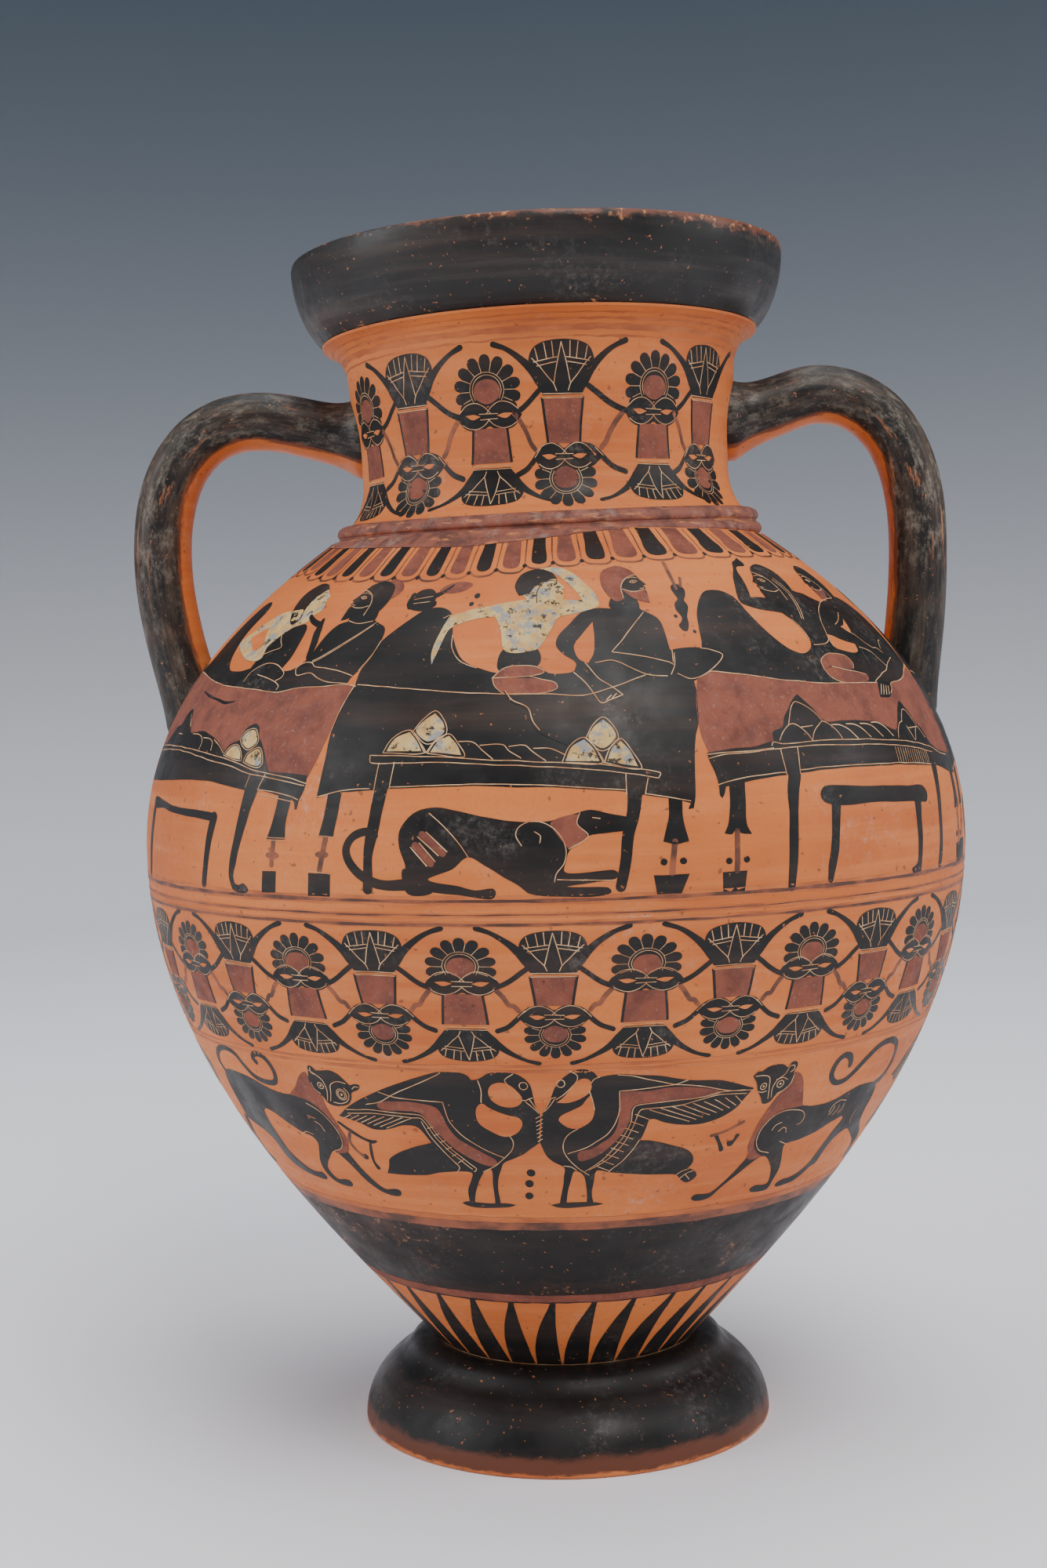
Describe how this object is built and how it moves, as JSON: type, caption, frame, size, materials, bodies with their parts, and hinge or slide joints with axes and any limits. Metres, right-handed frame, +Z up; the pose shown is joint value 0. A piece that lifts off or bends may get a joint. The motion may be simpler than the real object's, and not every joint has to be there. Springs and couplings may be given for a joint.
{
  "type": "neck-amphora",
  "caption": "Ovoid neck-amphora with two round vertical handles, an echinus mouth, a raised neck ring and a flaring foot, painted with figured bands.",
  "frame": {"origin": "centre of the foot's flat resting ring, on the surface the vase stands on", "axes": "+Z up along the wheel axis, towards the mouth; the handles lie on +X and -X; -Y is the painted front"},
  "size_m": [0.282, 0.28, 0.4],
  "materials": {
    "painted_clay": "burnished orange clay with a soft sheen, black figures, added red and cream, and incised lines",
    "black_slip": "black gloss slip with a metallic grey sheen, worn to clay at the edges",
    "red_slip": "matte added red, rubbed, with pale deposits"
  },
  "bodies": {
    "root": {"body": "painted_clay", "neck": "painted_clay", "neck_ring": "red_slip", "mouth": "black_slip", "foot": "black_slip", "left_handle": "black_slip", "right_handle": "black_slip", "left_handle_upper_luting": "black_slip", "left_handle_lower_luting": "black_slip", "right_handle_upper_luting": "black_slip", "right_handle_lower_luting": "black_slip"}
  },
  "joints": []
}
